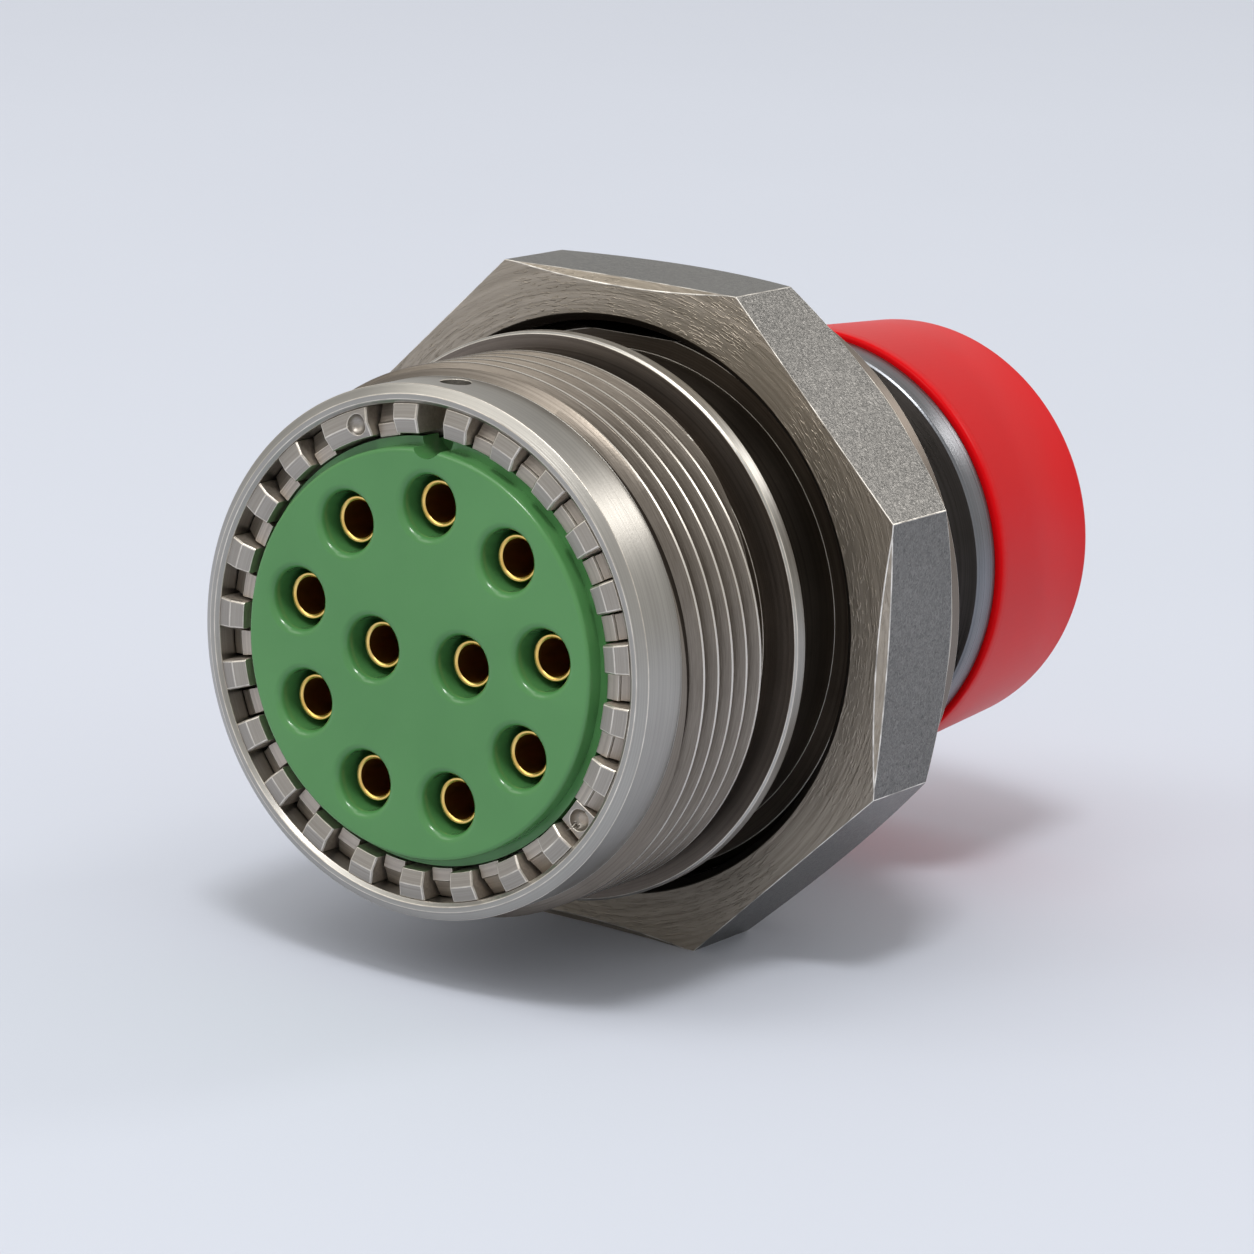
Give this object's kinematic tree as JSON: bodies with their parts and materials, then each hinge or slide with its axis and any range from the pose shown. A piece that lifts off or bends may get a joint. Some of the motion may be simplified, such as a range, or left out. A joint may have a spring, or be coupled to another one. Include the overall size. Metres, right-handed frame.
{
  "type": "jam-nut receptacle",
  "caption": "Circular panel receptacle with a threaded shell, castellated mating ring, socket insert, octagonal jam nut, O-ring seat, rear sleeve and push-on protective cap.",
  "frame": {"origin": "on the connector axis, in the plane of the panel seat (front of the rear flange)", "axes": "+Y along the axis away from the mating face, toward the wire end; +Z through the main keyway; +X to the right seen from the mating end"},
  "size_m": [0.0428, 0.0598, 0.0428],
  "materials": {
    "stainless_turned": "satin turned",
    "stainless_milled": "milled, edges broken",
    "stainless_nut": "fine turned face, ground flats",
    "stainless_washer": "stamped",
    "stainless_sleeve": "turned",
    "nickel_spring": "nickel plated spring metal",
    "gold_contact": "gold plated",
    "green_thermoplastic": "satin moulded",
    "grey_thermoplastic": "moulded",
    "green_rubber": "moulded",
    "black_rubber": "moulded",
    "red_plastic": "satin moulded"
  },
  "bodies": {
    "shell_body": {"shell": "stainless_turned", "castellated_ring": "stainless_milled", "ground_finger_ring": "nickel_spring", "front_insert": "green_thermoplastic", "peripheral_seal": "green_rubber", "clip_wafer": "grey_thermoplastic", "contact_clips": "nickel_spring", "rear_insert": "grey_thermoplastic", "insert_snap_ring": "stainless_milled", "contact_01": "gold_contact", "contact_02": "gold_contact", "contact_03": "gold_contact", "contact_04": "gold_contact", "contact_05": "gold_contact", "contact_06": "gold_contact", "contact_07": "gold_contact", "contact_08": "gold_contact", "contact_09": "gold_contact", "contact_10": "gold_contact", "contact_11": "gold_contact", "panel_o_ring": "black_rubber", "rear_sleeve": "stainless_sleeve", "wire_grommet": "green_rubber", "grommet_keeper": "stainless_milled"},
    "washer": {"panel_washer": "stainless_washer"},
    "nut": {"jam_nut": "stainless_nut"},
    "cap": {"protective_cap": "red_plastic"}
  },
  "joints": [
    {"name": "washer_travel", "type": "slide", "parent": "shell_body", "child": "washer", "axis": [0, -1, 0], "range_m": [0, 0.0032]},
    {"name": "nut_turn", "type": "hinge", "parent": "washer", "child": "nut", "pos_m": [0, 0, 0], "axis": [0, -1, 0], "range_deg": [0, 1152]},
    {"name": "cap_pull", "type": "slide", "parent": "shell_body", "child": "cap", "axis": [0, 1, 0], "range_m": [0, 0.016]}
  ],
  "couplings": [
    {"joint": "washer_travel", "follows": "nut_turn", "m_per_rad": 0.00015915}
  ]
}
